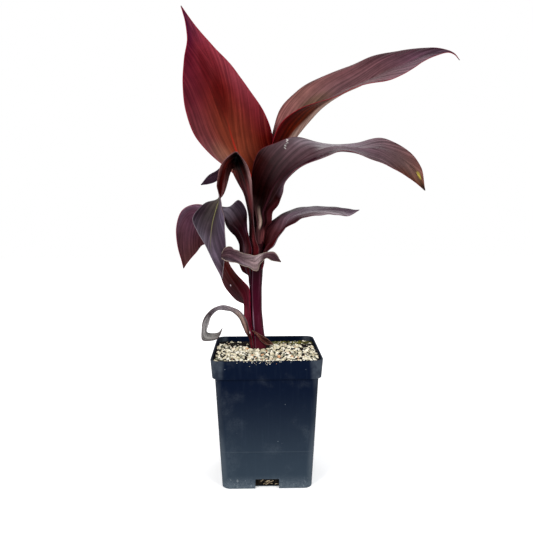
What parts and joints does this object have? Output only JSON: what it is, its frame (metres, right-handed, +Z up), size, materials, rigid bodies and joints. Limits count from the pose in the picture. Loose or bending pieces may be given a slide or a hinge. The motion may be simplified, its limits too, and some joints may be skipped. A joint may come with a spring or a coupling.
{
  "type": "potted canna lily plant",
  "caption": "Potted canna lily: a short upright false stem with broad dark waved leaves, some bent or withered, rooted in grit-topped soil in a square tapered pot.",
  "frame": {"origin": "centre of the pot's foot, on the surface that the pot stands on", "axes": "+Z up along the pot and the stem, +X to the right and -Y to the front, as the plant is seen"},
  "size_m": [0.2925, 0.1128, 0.502],
  "materials": {
    "pot": "moulded, satin, dusty",
    "soil": "loose damp soil",
    "grit": "loose rough stones",
    "rhizome": "rough skin",
    "stem": "waxy",
    "leaf_upright": "waxy, fine veins",
    "leaf_long": "waxy, fine veins",
    "leaf_twisted": "waxy, fine veins",
    "leaf_kinked": "waxy, fine veins",
    "leaf_lower_left": "waxy, fine veins",
    "leaf_cupped": "waxy, fine veins",
    "leaf_back": "waxy, fine veins",
    "leaf_small_right": "waxy, fine veins",
    "withered_leaf": "dry, crinkled",
    "withered_curl": "dry, crinkled",
    "dry_sheath": "dry, papery"
  },
  "bodies": {
    "root": {"pot": "pot", "soil": "soil", "grit": "grit", "rhizome": "rhizome", "stem": "stem", "leaf_upright": "leaf_upright", "leaf_long": "leaf_long", "leaf_twisted": "leaf_twisted", "leaf_kinked": "leaf_kinked", "leaf_lower_left": "leaf_lower_left", "leaf_cupped": "leaf_cupped", "leaf_back": "leaf_back", "leaf_small_right": "leaf_small_right", "withered_leaf": "withered_leaf", "withered_curl": "withered_curl", "dry_sheath": "dry_sheath"}
  },
  "joints": []
}
